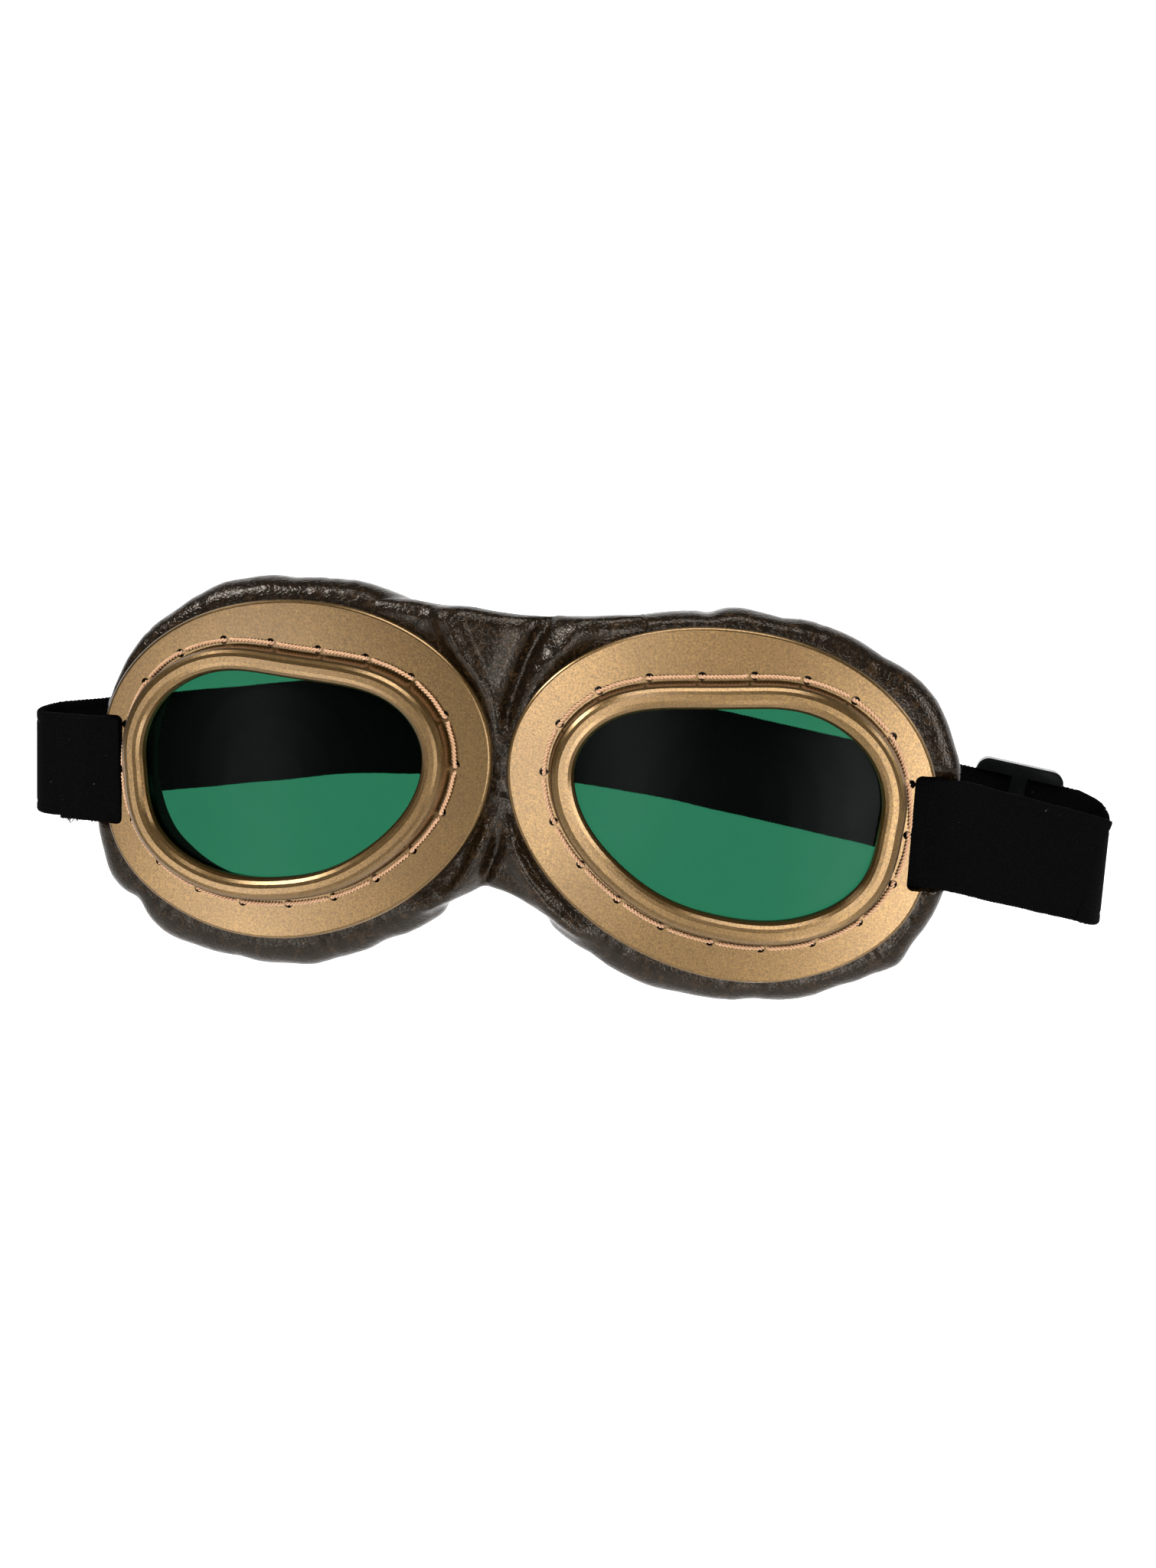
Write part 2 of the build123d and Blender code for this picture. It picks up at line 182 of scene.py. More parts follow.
def outward(loop):
    """Unit normals of a closed loop, away from its middle."""
    along = np.roll(loop, -1, 0) - np.roll(loop, 1, 0)
    normal = unit(np.stack([along[:, 1], -along[:, 0]], 1))
    return normal * np.sign(np.sum(normal * loop, 1).mean())


def in_goggles(places, side):
    """Places of one eyepiece (outboard, up, forward) in the goggles' frame, in metres. Side is 1 or -1."""
    places = np.asarray(places, float)
    across = (places[..., 0] + EYE_CENTRE) * math.cos(WRAP) + places[..., 2] * math.sin(WRAP)
    deep = -FRONT_TO_FACE + (places[..., 0] + EYE_CENTRE) * math.sin(WRAP) - places[..., 2] * math.cos(WRAP)
    return np.stack([side * across, deep, places[..., 1]], -1) * MM


def in_eyepiece(points, side):
    """The other way: metres in the goggles' frame to one eyepiece's outboard, up and forward."""
    across, deep, up = side * points[:, 0] / MM, points[:, 1] / MM + FRONT_TO_FACE, points[:, 2] / MM
    outboard = across * math.cos(WRAP) + deep * math.sin(WRAP) - EYE_CENTRE
    forward = across * math.sin(WRAP) - deep * math.cos(WRAP)
    return np.stack([outboard, up, forward], 1)


# Meshes

def put_mesh(name, points, faces, finish=None):
    """A new piece from points in metres and faces."""
    mesh = bpy.data.meshes.new(name)
    mesh.from_pydata([tuple(p) for p in points], [], faces)
    mesh.validate()
    mesh.polygons.foreach_set("use_smooth", [True] * len(mesh.polygons))
    mesh.update()
    piece = bpy.data.objects.new(name, mesh)
    bpy.context.scene.collection.objects.link(piece)
    if finish:
        mesh.materials.append(finish)
    return piece


def grid_faces(rows, columns, wrap_rows, wrap_columns, flip=False):
    """Four-sided faces between the rows of a grid of points, closed in either direction or open."""
    faces = []
    for i in range(rows if wrap_rows else rows - 1):
        for j in range(columns if wrap_columns else columns - 1):
            a, b = i * columns + j, i * columns + (j + 1) % columns
            c, d = ((i + 1) % rows) * columns + (j + 1) % columns, ((i + 1) % rows) * columns + j
            faces.append((a, d, c, b) if flip else (a, b, c, d))
    return faces


def shifted(faces, start):
    """The same faces for points that come after some others."""
    return [tuple(start + index for index in face) for face in faces]


def settled(piece):
    """The piece's mesh with its modifiers applied, as arrays of points and faces."""
    shown = piece.evaluated_get(bpy.context.evaluated_depsgraph_get())
    mesh = bpy.data.meshes.new_from_object(shown)
    points = np.array([v.co for v in mesh.vertices], float)
    faces = [tuple(p.vertices) for p in mesh.polygons]
    return points, faces


# Gentle steps and ripples

def eased_step(share):
    """A share between 0 and 1 that starts and ends gently."""
    return share * share * (3 - 2 * share)


def wave_noise(seed, places, shortest, longest, count=18):
    """Smooth seeded ripples along a length: between -1 and 1 or so."""
    rng = np.random.default_rng(seed)
    total = np.zeros_like(places, float)
    for _ in range(count):
        length = shortest * (longest / shortest) ** rng.random()
        total += np.sin(2 * math.pi * (places / length + rng.random())) * rng.uniform(0.5, 1.0)
    return total / math.sqrt(count) * 1.1


# Finishes

class Wire:
    """A shader socket that takes part in plain arithmetic."""

    def __init__(self, finish, socket):
        self.finish = finish
        self.socket = socket

    def maths(self, operation, *others):
        return self.finish.node("ShaderNodeMath", {"operation": operation}, dict(enumerate((self, *others))))

    def __add__(self, other):
        return self.maths("ADD", other)

    def __mul__(self, other):
        return self.maths("MULTIPLY", other)

    def __sub__(self, other):
        return self.maths("SUBTRACT", other)

    def __rsub__(self, other):
        return (self * -1.0) + other

    __radd__ = __add__
    __rmul__ = __mul__

    def sine(self):
        return self.maths("SINE")

    def between(self, low, high):
        """0 below low and 1 above high, smoothly."""
        return self.finish.node("ShaderNodeMapRange", {"interpolation_type": "SMOOTHSTEP"}, {
            "Value": self, "From Min": low, "From Max": high})


class Finish:
    """A material and the nodes that draw it."""

    def __init__(self, name):
        self.material = bpy.data.materials.new(name)
        self.material.use_nodes = True
        self.tree = self.material.node_tree
        self.tree.nodes.clear()

    def node(self, kind, settings, sockets, output=0):
        """One node of a kind: its settings first, then the values or links of its sockets."""
        made = self.tree.nodes.new(kind)
        for name, value in settings.items():
            setattr(made, name, value)
        for name, value in sockets.items():
            if isinstance(value, Wire):
                self.tree.links.new(value.socket, made.inputs[name])
            else:
                made.inputs[name].default_value = value
        return Wire(self, made.outputs[output])

    def places(self):
        """Places on the piece itself, in metres."""
        return self.node("ShaderNodeTexCoord", {}, {}, "Object")

    def web(self):
        """Places along and across a band of webbing, in millimetres."""
        return self.node("ShaderNodeUVMap", {"uv_map": "web"}, {})

    def pushed(self, vector, by, amount):
        """A place moved about by a colour, to break up a pattern's straight lines."""
        scaled = self.node("ShaderNodeVectorMath", {"operation": "SCALE"}, {0: by, "Scale": amount})
        return self.node("ShaderNodeVectorMath", {"operation": "ADD"}, {0: vector, 1: scaled})

    def clouds(self, vector, scale, detail=3.0, roughness=0.5, distortion=0.0, output="Fac"):
        """Soft random clouds, so many to the metre."""
        return self.node("ShaderNodeTexNoise", {}, {
            "Vector": vector, "Scale": scale, "Detail": detail, "Roughness": roughness,
            "Distortion": distortion}, output)

    def cells(self, vector, scale, feature="F1", output="Distance"):
        """Random cells, so many to the metre: how far a place is from a cell's middle or from its edge."""
        return self.node("ShaderNodeTexVoronoi", {"feature": feature}, {"Vector": vector, "Scale": scale}, output)

    def mixed(self, share, first, second):
        """The first colour at share 0, the second at share 1."""
        return self.node("ShaderNodeMix", {"data_type": "RGBA"}, {0: share, 6: first, 7: second}, 2)

    def split(self, vector):
        """A place's three numbers, each on its own."""
        node = self.tree.nodes.new("ShaderNodeSeparateXYZ")
        self.tree.links.new(vector.socket, node.inputs[0])
        return [Wire(self, socket) for socket in node.outputs]

    def bumped(self, height, strength, distance):
        """Fine relief for the light to catch; the distance is its depth in metres."""
        return self.node("ShaderNodeBump", {}, {"Height": height, "Strength": strength, "Distance": distance})

    def shown(self, shader):
        """The material, with this shader as its surface."""
        out = self.tree.nodes.new("ShaderNodeOutputMaterial")
        self.tree.links.new(shader.socket, out.inputs["Surface"])
        return self.material

    def surface(self, sockets):
        return self.shown(self.node("ShaderNodeBsdfPrincipled", {}, sockets))


def brown_leather():
    """Glossy near-black brown leather cloth: pebbles, creases darkened with painted shade, paler hair-fine streaks
    and worn patches.
    """
    f = Finish("brown_leather_cloth")
    at = f.places()
    drift = f.clouds(at, 320.0, 3.0, 0.6, output="Color")
    creased = f.pushed(at, drift, 0.0016)
    pebbles = f.cells(creased, 1500.0)
    creases = f.cells(creased, 900.0, "DISTANCE_TO_EDGE")
    hairs = f.clouds(f.pushed(at, drift, 0.004), 420.0, 9.0, 0.72, 1.4)
    hair_mask = hairs.between(0.50, 0.62) * 0.85
    patches = f.clouds(at, 60.0, 3.0).between(0.35, 0.7)
    brown = f.mixed(hair_mask, (0.0062, 0.0036, 0.0016, 1), (0.040, 0.0210, 0.0088, 1))
    worn = f.mixed(patches * 0.40, brown, (0.0125, 0.0076, 0.0040, 1))
    # Painted shade: the colour is darkened along the crease lines, where shade falls in the grain's valleys
    painted_crease_shade = 1 - creases.between(0.0, 0.10)
    colour = f.mixed(painted_crease_shade * 0.45, worn, (0.0030, 0.0022, 0.0017, 1))
    height = creases.between(0.0, 0.22) * 0.6 - pebbles * 0.35 + hairs * 0.5
    return f.surface({
        "Base Color": colour,
        "Roughness": 0.14 + hairs * 0.10,
        "Specular IOR Level": 0.28,
        "Specular Tint": (1.0, 0.90, 0.78, 1),
        "Normal": f.bumped(height, 0.45, 0.00012),
    })


def gold_paint():
    """Satin gold paint on a moulding: metallic flake, faint clouding and a few dust nibs."""
    f = Finish("satin_gold_paint")
    at = f.places()
    flake = f.clouds(at, 2400.0, 2.0, 0.7)
    clouding = f.clouds(at, 55.0, 3.0)
    nibs = 1 - f.cells(at, 95.0).between(0.02, 0.035)
    bright = f.mixed(flake.between(0.25, 0.75), (0.090, 0.046, 0.009, 1), (0.210, 0.118, 0.029, 1))
    soft = f.mixed(clouding.between(0.3, 0.75) * 0.35, bright, (0.100, 0.052, 0.011, 1))
    colour = f.mixed(nibs * 0.6, soft, (0.22, 0.12, 0.05, 1))
    height = flake * 0.5 + f.clouds(at, 900.0, 2.0) * 0.5 + nibs * 0.8
    return f.surface({
        "Base Color": colour,
        "Metallic": 0.85,
        "Roughness": 0.23 + clouding * 0.05,
        "Coat Weight": 0.7,
        "Coat Roughness": 0.22,
        "Normal": f.bumped(height, 0.16, 0.00005),
    })


def green_lens():
    """Clear green sheet: what lies behind is tinted, and the faces shine more the flatter they are seen."""
    f = Finish("green_lens_sheet")
    at = f.places()
    smears = f.clouds(at, 60.0, 4.0)
    through = f.node("ShaderNodeBsdfTransparent", {}, {"Color": (0.122, 0.350, 0.250, 1)})
    face = f.node("ShaderNodeNewGeometry", {}, {}, "True Normal")
    shine = f.node("ShaderNodeBsdfPrincipled", {}, {
        "Base Color": (0.002, 0.012, 0.007, 1), "Roughness": 0.14 + smears * 0.10, "Normal": face})
    facing = f.node("ShaderNodeFresnel", {}, {"IOR": 1.45, "Normal": face})
    return f.shown(f.node("ShaderNodeMixShader", {}, {0: facing * 0.8 + 0.01, 1: through, 2: shine}))


def dark_moulding():
    """Black glossy plastic with faint handling marks."""
    f = Finish("black_moulding")
    at = f.places()
    marks = f.clouds(at, 240.0, 5.0, 0.6)
    colour = f.mixed(marks.between(0.45, 0.8), (0.0035, 0.0038, 0.0040, 1), (0.008, 0.0085, 0.009, 1))
    return f.surface({
        "Base Color": colour, "Roughness": 0.13 + marks * 0.08, "Specular IOR Level": 0.11,
        "Normal": f.bumped(marks, 0.12, 0.00006)})


def lacing_thread():
    """Copper coloured twisted thread."""
    f = Finish("copper_thread")
    at = f.places()
    fibres = f.clouds(at, 5200.0, 3.0, 0.7)
    colour = f.mixed(fibres.between(0.3, 0.7), (0.42, 0.18, 0.07, 1), (0.84, 0.56, 0.34, 1))
    return f.surface({
        "Base Color": colour, "Roughness": 0.50, "Sheen Weight": 0.25,
        "Normal": f.bumped(fibres, 0.5, 0.00006)})


def strap_elastic():
    """Black elastic webbing: ribs across it, yarns along it and a little lint."""
    f = Finish("black_elastic")
    along, across, _ = f.split(f.web())
    at = f.places()
    fuzz = f.clouds(at, 3000.0, 4.0, 0.7)
    ribs = (along * (2 * math.pi / RIB_PITCH)).sine() * 0.5 + 0.5
    yarns = (across * (2 * math.pi / YARN_PITCH)).sine() * 0.5 + 0.5
    lint = f.clouds(at, 700.0, 2.0, 0.4).between(0.765, 0.80)
    colour = f.mixed(fuzz.between(0.3, 0.75), (0.0006, 0.0006, 0.0007, 1), (0.0026, 0.0026, 0.0028, 1))
    dusty = f.mixed(lint * 0.5, colour, (0.10, 0.10, 0.10, 1))
    height = ribs * 0.6 + yarns * 0.35 + fuzz * 0.6
    return f.surface({
        "Base Color": dusty, "Roughness": 0.92, "Specular IOR Level": 0.03,
        "Normal": f.bumped(height, 0.8, 0.00016)})


def lining_fabric():
    """Matt black brushed lining over soft foam."""
    f = Finish("black_lining")
    at = f.places()
    nap = f.clouds(at, 1900.0, 5.0, 0.7)
    drift = f.clouds(at, 120.0, 3.0)
    colour = f.mixed(nap.between(0.3, 0.75), (0.008, 0.008, 0.009, 1), (0.030, 0.029, 0.030, 1))
    return f.surface({
        "Base Color": colour, "Roughness": 0.85 + drift * 0.1, "Specular IOR Level": 0.2, "Sheen Weight": 0.05,
        "Normal": f.bumped(nap, 0.6, 0.00018)})


def floor_paint_with_glow():
    """Pale paint with a painted glow, light given off by a floor that is no lamp: dimmer in front, brightest where
    the floor runs up behind the goggles.
    """
    f = Finish("pale_floor_painted_glow")
    at = f.places()
    behind = f.split(at)[1].between(FLOOR_FRONT, FLOOR_REAR)
    wash = f.clouds(at, 3.0, 3.0)
    colour = f.mixed(wash, (0.90, 0.90, 0.90, 1), (0.94, 0.94, 0.94, 1))
    # Painted light: the floor glows as if lit, dimmer in front and full behind the goggles
    painted_glow = f.mixed(behind, (0.45, 0.45, 0.45, 1), (1.0, 1.0, 1.0, 1))
    return f.surface({
        "Base Color": colour, "Roughness": 0.8 + wash * 0.05, "Emission Color": painted_glow,
        "Emission Strength": 0.95})


# The studio floor, in metres: its height, where its painted glow starts and where it is full, and the curve up to
# the wall
FLOOR_HEIGHT = -0.60
FLOOR_FRONT = -0.1
FLOOR_REAR = 0.5
FLOOR_CURVE = 0.8

leather_finish = brown_leather()
gold_finish = gold_paint()
lens_finish = green_lens()
moulding_finish = dark_moulding()
thread_finish = lacing_thread()
elastic_finish = strap_elastic()
lining_finish = lining_fabric()

# Camera at the photograph's place
CAMERA_PLACE = (0.072930, -0.405738, 0.074790)
CAMERA_RIGHT = (0.98751103, 0.14856689, 0.05243887)
CAMERA_UP = (-0.07760915, 0.16905714, 0.98254593)
CAMERA_AHEAD = (-0.13710863, 0.97434468, -0.17847594)
camera_data = bpy.data.cameras.new("photo_camera")
camera_data.sensor_width = 36.0
camera_data.lens = 41.29
camera_data.clip_start = 0.01
camera = bpy.data.objects.new("photo_camera", camera_data)
bpy.context.scene.collection.objects.link(camera)
turn = Matrix((CAMERA_RIGHT, CAMERA_UP, [-value for value in CAMERA_AHEAD])).transposed()
camera.matrix_world = Matrix.Translation(CAMERA_PLACE) @ turn.to_4x4()
bpy.context.scene.camera = camera

# The two outlines that the cups follow
flange_loop = smooth_loop(FLANGE, AROUND)
opening_loop = smooth_loop(OPENING, AROUND)
flange_out = outward(flange_loop)
opening_out = outward(opening_loop)
flange_angle = np.degrees(np.arctan2(flange_loop[:, 1], flange_loop[:, 0])) % 360
flange_reach = np.hypot(flange_loop[:, 0], flange_loop[:, 1])


def proud_of(side):
    """How far the leather stands past the flange at each place round it."""
    table = PROUD_RIGHT if side > 0 else PROUD_LEFT
    proud = np.interp(flange_angle, list(table), list(table.values()), period=360)
    kernel = np.hanning(25) / np.hanning(25).sum()
    proud = np.convolve(np.concatenate([proud[-12:], proud, proud[:12]]), kernel, "valid")
    for angle, half, height in LUMPS_RIGHT if side > 0 else LUMPS_LEFT:
        away = (flange_angle - angle + 180) % 360 - 180
        proud += height * np.exp(-(away / half) ** 2)
    return proud


def nose_fade(loop):
    """0 at the flange's nose side, where the bridge takes over, and 1 from a little further out."""
    return np.clip((loop[:, 0] + 48.0) / 14.0, 0, 1)


def cup_rings(side, stations, wall_stations):
    """Rings of one cup: (depth, puff, inset) outside, then (outset, depth) on the eye's wall; depth as a share."""
    proud = proud_of(side)
    fade = nose_fade(flange_loop)
    rings = []
    for depth, puff, inset in stations:
        outset = proud * puff * fade - 8.0 * depth * (1 - fade) - inset
        flat = flange_loop + flange_out * outset[:, None]
        rings.append(np.column_stack([flat, np.full(AROUND, -FLANGE_THICKNESS - PAD_DEPTH * depth)]))
    for outset, depth in wall_stations:
        flat = opening_loop + opening_out * outset
        rings.append(np.column_stack([flat, np.full(AROUND, -FLANGE_THICKNESS - PAD_DEPTH * depth)]))
    return np.stack(rings)


# Each cup's section, as cup_rings reads it
LEATHER_STATIONS = [
    (0.012, 0, 4.2), (0.022, 0, 1.6), (0.028, 0.06, 0), (0.045, 0.36, 0), (0.085, 0.60, 0), (0.15, 0.79, 0),
    (0.23, 0.92, 0), (0.32, 0.99, 0), (0.42, 1.0, 0), (0.52, 0.98, 0), (0.61, 0.93, 0), (0.69, 0.85, 0),
    (0.74, 0.78, 0), (0.765, 0.70, 0), (0.77, 0.3, 0),
]
LEATHER_WALL = [(6.2, 0.77), (6.2, 0.4), (6.2, 0.012)]
LINING_STATIONS = [
    (0.775, 0.3, 0), (0.775, 0.66, 0), (0.79, 0.71, 0), (0.83, 0.64, 0), (0.88, 0.50, 0), (0.93, 0.28, 0),
    (0.97, 0.0, 0.2), (0.992, 0, 2.0), (1.0, 0, 4.2),
]
LINING_WALL = [
    (8.2, 0.996), (6.9, 0.975), (5.9, 0.94), (5.2, 0.87), (5.0, 0.75), (5.0, 0.5), (5.0, 0.25), (5.0, 0.02),
    (6.0, 0.02), (6.1, 0.4), (6.1, 0.765),
]


def cup_leather(side):
    """One cup's leather: from under the flange over the puffed side to the seam, and back along the eye's wall."""
    rings = cup_rings(side, LEATHER_STATIONS, LEATHER_WALL)
    rings = room_for_strap(rings)
    points = in_goggles(rings, side).reshape(-1, 3)
    return points, grid_faces(len(rings), AROUND, True, True, side < 0)


def room_for_strap(rings):
    """The leather lies behind the strap where the strap crosses it."""
    outboard, up, forward = rings[..., 0], rings[..., 1], rings[..., 2]
    level = np.clip((WEB_WIDTH / 2 + 1.4 - np.abs(up + WEB_DROP)) / 1.6, 0, 1)
    beside = eased_step(level * np.clip((outboard - 30.0) / 2.0, 0, 1))
    held = np.minimum(forward, -4.3 + 0.02 * (forward + FLANGE_THICKNESS))
    rings[..., 2] = forward + (held - forward) * beside
    return rings


def past_flange(x, heights):
    """How far places of the bridge lie outside the nearer flange, in millimetres."""
    outboard = abs(x) / math.cos(WRAP) - EYE_CENTRE
    angle = np.degrees(np.arctan2(heights, outboard)) % 360
    return np.hypot(outboard, heights) - np.interp(angle, flange_angle, flange_reach, period=360)


def ridge(x, heights, line, width):
    """1 along a line of (height, x) places on the bridge, falling off to both sides."""
    line = np.array(line, float)
    return np.exp(-((x - np.interp(heights, line[:, 0], line[:, 1])) / width) ** 2)


def behind_flanges(x):
    """The line just behind the flanges' backs, across the nose: how far back it lies, in millimetres."""
    return -13.75 + 0.0998 * max(abs(x) - 2.3, 0)


def bridge_front(x, heights):
    """How far back the bridge's front lies: puffed ridges beside the frames and the folds between them."""
    puff = eased_step(np.clip(past_flange(x, heights) / 3.2, 0, 1))
    upper = np.clip((heights - 5.0) / 12.0, 0, 1)
    lower = np.clip((-heights - 5.0) / 9.0, 0, 1)
    left_ridge = ridge(x, heights, [(4, -2.0), (12, -3.4), (20, -5.4), (28, -9.0), (38, -14.5)], 2.6)
    right_ridge = ridge(x, heights, [(4, 2.6), (12, 4.2), (20, 6.6), (28, 10.5), (38, 17.0)], 3.4)
    valley_line = [(2, 0.2), (12, 0.5), (20, 1.4), (30, 4.5), (41, 9.5)]
    valley = ridge(x, heights, valley_line, 1.5)
    wide_valley = ridge(x, heights, valley_line, 4.2)
    left_lobe = ridge(x, heights, [(-32, -17.0), (-24, -9.5), (-18, -5.5), (-12, -3.0), (-6, -1.5)], 2.0)
    right_lobe = ridge(x, heights, [(-32, 18.0), (-24, 11.0), (-18, 6.4), (-12, 3.6), (-6, 2.0)], 2.2)
    fold = ridge(x, heights, [(-23, -3.6), (-18, -1.6), (-12, 0.3), (-6, 0.2)], 1.3)
    side_fold = ridge(x, heights, [(-26, -13.0), (-20, -9.0), (-15, -6.5), (-10, -4.5)], 1.0)
    rise = upper * (2.6 * left_ridge + 1.5 * right_ridge - 2.2 * valley - 1.6 * wide_valley)
    rise += lower * (2.4 * left_lobe + 1.9 * right_lobe - 2.4 * fold - 1.3 * side_fold)
    return behind_flanges(x) - puff * (0.9 + rise)


def bridge_leather():
    """The leather between the cups, with its sag at the top, the valley down the middle and the nose notch."""
    loops = []
    for x in np.linspace(-BRIDGE_REACH, BRIDGE_REACH, BRIDGE_STEPS):
        top = 39.2 + 1.6 * min(abs(x - 4) / 26.0, 1.0) ** 1.6 + 0.4 * math.exp(-((x + 9) / 5) ** 2)
        bottom = np.interp(x, [-30, -22, -16, -9, -5.5, -3, 0, 3.5, 7, 12, 20, 30],
                           [-36.0, -33.0, -29.7, -25.8, -23.9, -22.5, -22.7, -23.8, -25.6, -28.3, -33.2, -36.5])
        heights = np.linspace(bottom, top, BRIDGE_ROWS)
        face_y = bridge_front(x, heights)
        back_y = np.full_like(heights, behind_flanges(x) + BRIDGE_DEPTH)
        ahead = list(zip(heights, face_y))
        behind = list(zip(heights[::-1], back_y[::-1]))
        middle_top = (face_y[-1] + back_y[-1]) / 2
        middle_low = (face_y[0] + back_y[0]) / 2
        loop = (ahead[3:-3] + [(top + 0.1, face_y[-1] + 1.2), (top + 0.6, middle_top)]
                + [(top + 0.1, back_y[-1] - 1.0)] + behind[3:-3]
                + [(bottom - 0.1, back_y[0] - 1.0), (bottom - 0.6, middle_low), (bottom - 0.1, face_y[0] + 1.2)])
        loops.append([(x, y, h) for h, y in loop])
    grid = np.array(loops) * MM
    rows, columns = grid.shape[:2]
    faces = grid_faces(rows, columns, False, True, True)
    faces.append(tuple(range(columns)))
    faces.append(tuple((rows - 1) * columns + j for j in reversed(range(columns))))
    return closed_mesh("bridge", grid.reshape(-1, 3), faces)


def closed_mesh(name, points, faces):
    """A closed form with every face turned outward, ready for cutting."""
    piece = put_mesh(name, points, faces)
    form = bmesh.new()
    form.from_mesh(piece.data)
    bmesh.ops.recalc_face_normals(form, faces=form.faces)
    form.to_mesh(piece.data)
    form.free()
    return piece


def eye_hole(side):
    """A plug the shape of one eye's way through the cup."""
    flat = opening_loop[::3] + opening_out[::3] * EYE_HOLE_OUTSET
    count = len(flat)
    ends = [np.column_stack([flat, np.full(count, height)]) for height in (6.0, -22.0)]
    points = in_goggles(np.concatenate(ends), side)
    faces = grid_faces(2, count, False, True)
    faces += [tuple(range(count)), tuple(range(count, 2 * count))]
    return closed_mesh("eye_plug", points, faces)


def cut_by(piece, cutter):
    """The piece less the cutter's volume, as arrays of points and faces."""
    cut = piece.modifiers.new("cut", "BOOLEAN")
    cut.operation = "DIFFERENCE"
    cut.object = cutter
    points, faces = settled(piece)
    bpy.data.objects.remove(piece)
    bpy.data.objects.remove(cutter)
    return points, faces


def leather_skin():
    """One skin over both cups and the bridge, then gathered round the flanges."""
    points, faces = [], []
    start = 0
    bridge = cut_by(closed_mesh("bridge", *cut_by(bridge_leather(), eye_hole(1))), eye_hole(-1))
    for part in (cup_leather(1), cup_leather(-1), bridge):
        points.append(part[0])
        faces += shifted(part[1], start)
        start += len(part[0])
    piece = put_mesh("leather_covers", np.concatenate(points), faces)
    remesh = piece.modifiers.new("join", "REMESH")
    remesh.mode = "VOXEL"
    remesh.voxel_size = VOXEL
    soften = piece.modifiers.new("soften", "SMOOTH")
    soften.iterations = 3
    points, faces = settled(piece)
    bpy.data.objects.remove(piece)
    points, faces = eased(points, faces)
    return put_mesh("leather_covers", gathered(points, faces), faces, leather_finish)


def eased(points, faces):
    """The skin smoothed where the bridge's lower edge runs into the cups."""
    piece = put_mesh("eased_skin", points, faces)
    low = np.clip((-points[:, 2] - 0.021) / 0.004, 0, 1)
    near_nose = np.clip((0.030 - np.abs(points[:, 0])) / 0.006, 0, 1)
    below = low * near_nose
    group = piece.vertex_groups.new(name="below_bridge")
    for index in np.flatnonzero(below):
        group.add([int(index)], float(below[index]), "REPLACE")
    ease = piece.modifiers.new("ease", "SMOOTH")
    ease.vertex_group = group.name
    ease.iterations = EASE_ROUNDS
    points, faces = settled(piece)
    bpy.data.objects.remove(piece)
    return points, faces


def normals_of(points, faces):
    """The direction that the surface faces at each of its points."""
    mesh = bpy.data.meshes.new("measure")
    mesh.from_pydata([tuple(p) for p in points], [], faces)
    mesh.update()
    normals = np.zeros(len(points) * 3)
    mesh.vertices.foreach_get("normal", normals)
    bpy.data.meshes.remove(mesh)
    return normals.reshape(-1, 3)


def lumps(points, scale, offset):
    """Smooth lumps in space at each point, between -1 and 1."""
    return np.array([noise.noise(Vector(p) * scale + Vector(offset)) for p in points])


def gathered(points, faces):
    """Fine pleats that run out from under the flange, and softer lumps further off."""
    normals = normals_of(points, faces)
    push = np.zeros(len(points))
    for side in (1, -1):
        local = in_eyepiece(points, side)
        near = np.full(len(points), 1e9)
        where = np.zeros(len(points), int)
        for start in range(0, len(points), BLOCK):
            some = slice(start, start + BLOCK)
            gaps = np.linalg.norm(local[some, None, :2] - flange_loop[None, ::2, :], axis=2)
            where[some] = gaps.argmin(1) * 2
            near[some] = gaps.min(1)
        mine = (points[:, 0] * side > -0.004)
        length = where * (FLANGE_ROUND / AROUND)
        pleats = wave_noise(11 + side, length, 2.2, 5.2, 26)
        strength = 0.5 + 0.5 * wave_noise(31 + side, length, 16.0, 50.0, 10)
        strength = np.clip(strength, 0.08, 1.0)
        reach = np.exp(-(near / PLEAT_REACH) ** 2)
        front = np.clip((local[:, 2] + 15.0) / 4.0, 0, 1)
        push += np.where(mine, pleats * strength * reach * front * PLEAT_HEIGHT, 0)
    push += lumps(points, 95.0, (0, 0, 0)) * LUMP_HEIGHT
    push += (0.5 - np.abs(lumps(points, 260.0, (3, 5, 7)))) * CREASE_HEIGHT
    return points + normals * (push * held_places(points))[:, None] * MM


def held_places(points):
    """0 where the flange or the strap lies on the leather and at the eye's wall, and 1 elsewhere."""
    held = np.ones(len(points))
    for side in (1, -1):
        local = in_eyepiece(points, side)
        mine = points[:, 0] * side > 0
        inside = np.hypot(local[:, 0] / 47.5, local[:, 1] / 39.0) < 0.93
        level = np.abs(local[:, 1] + WEB_DROP) < WEB_WIDTH / 2 + 2.0
        strap = level & (local[:, 0] > 34) & (local[:, 2] > -6)
        wall = np.hypot(local[:, 0] / 41.0, local[:, 1] / 31.0) < 1.0
        held = np.where(mine & (inside | strap | wall), 0.0, held)
    return held


def pad_lining(side, name):
    """The soft pad that meets the face, with its rounded edge at the eye."""
    rings = cup_rings(side, LINING_STATIONS, LINING_WALL)
    points = in_goggles(rings, side).reshape(-1, 3)
    faces = grid_faces(len(rings), AROUND, True, True, side < 0)
    piece = put_mesh(name, points, faces, lining_finish)
    soft = piece.modifiers.new("round", "SUBSURF")
    soft.levels = soft.render_levels = 1
    points, faces = settled(piece)
    bpy.data.objects.remove(piece)
    ripple = lumps(points, 120.0, (9, 1, 4))[:, None] * RIPPLE_HEIGHT * MM
    return put_mesh(name, points + normals_of(points, faces) * ripple, faces, lining_finish)


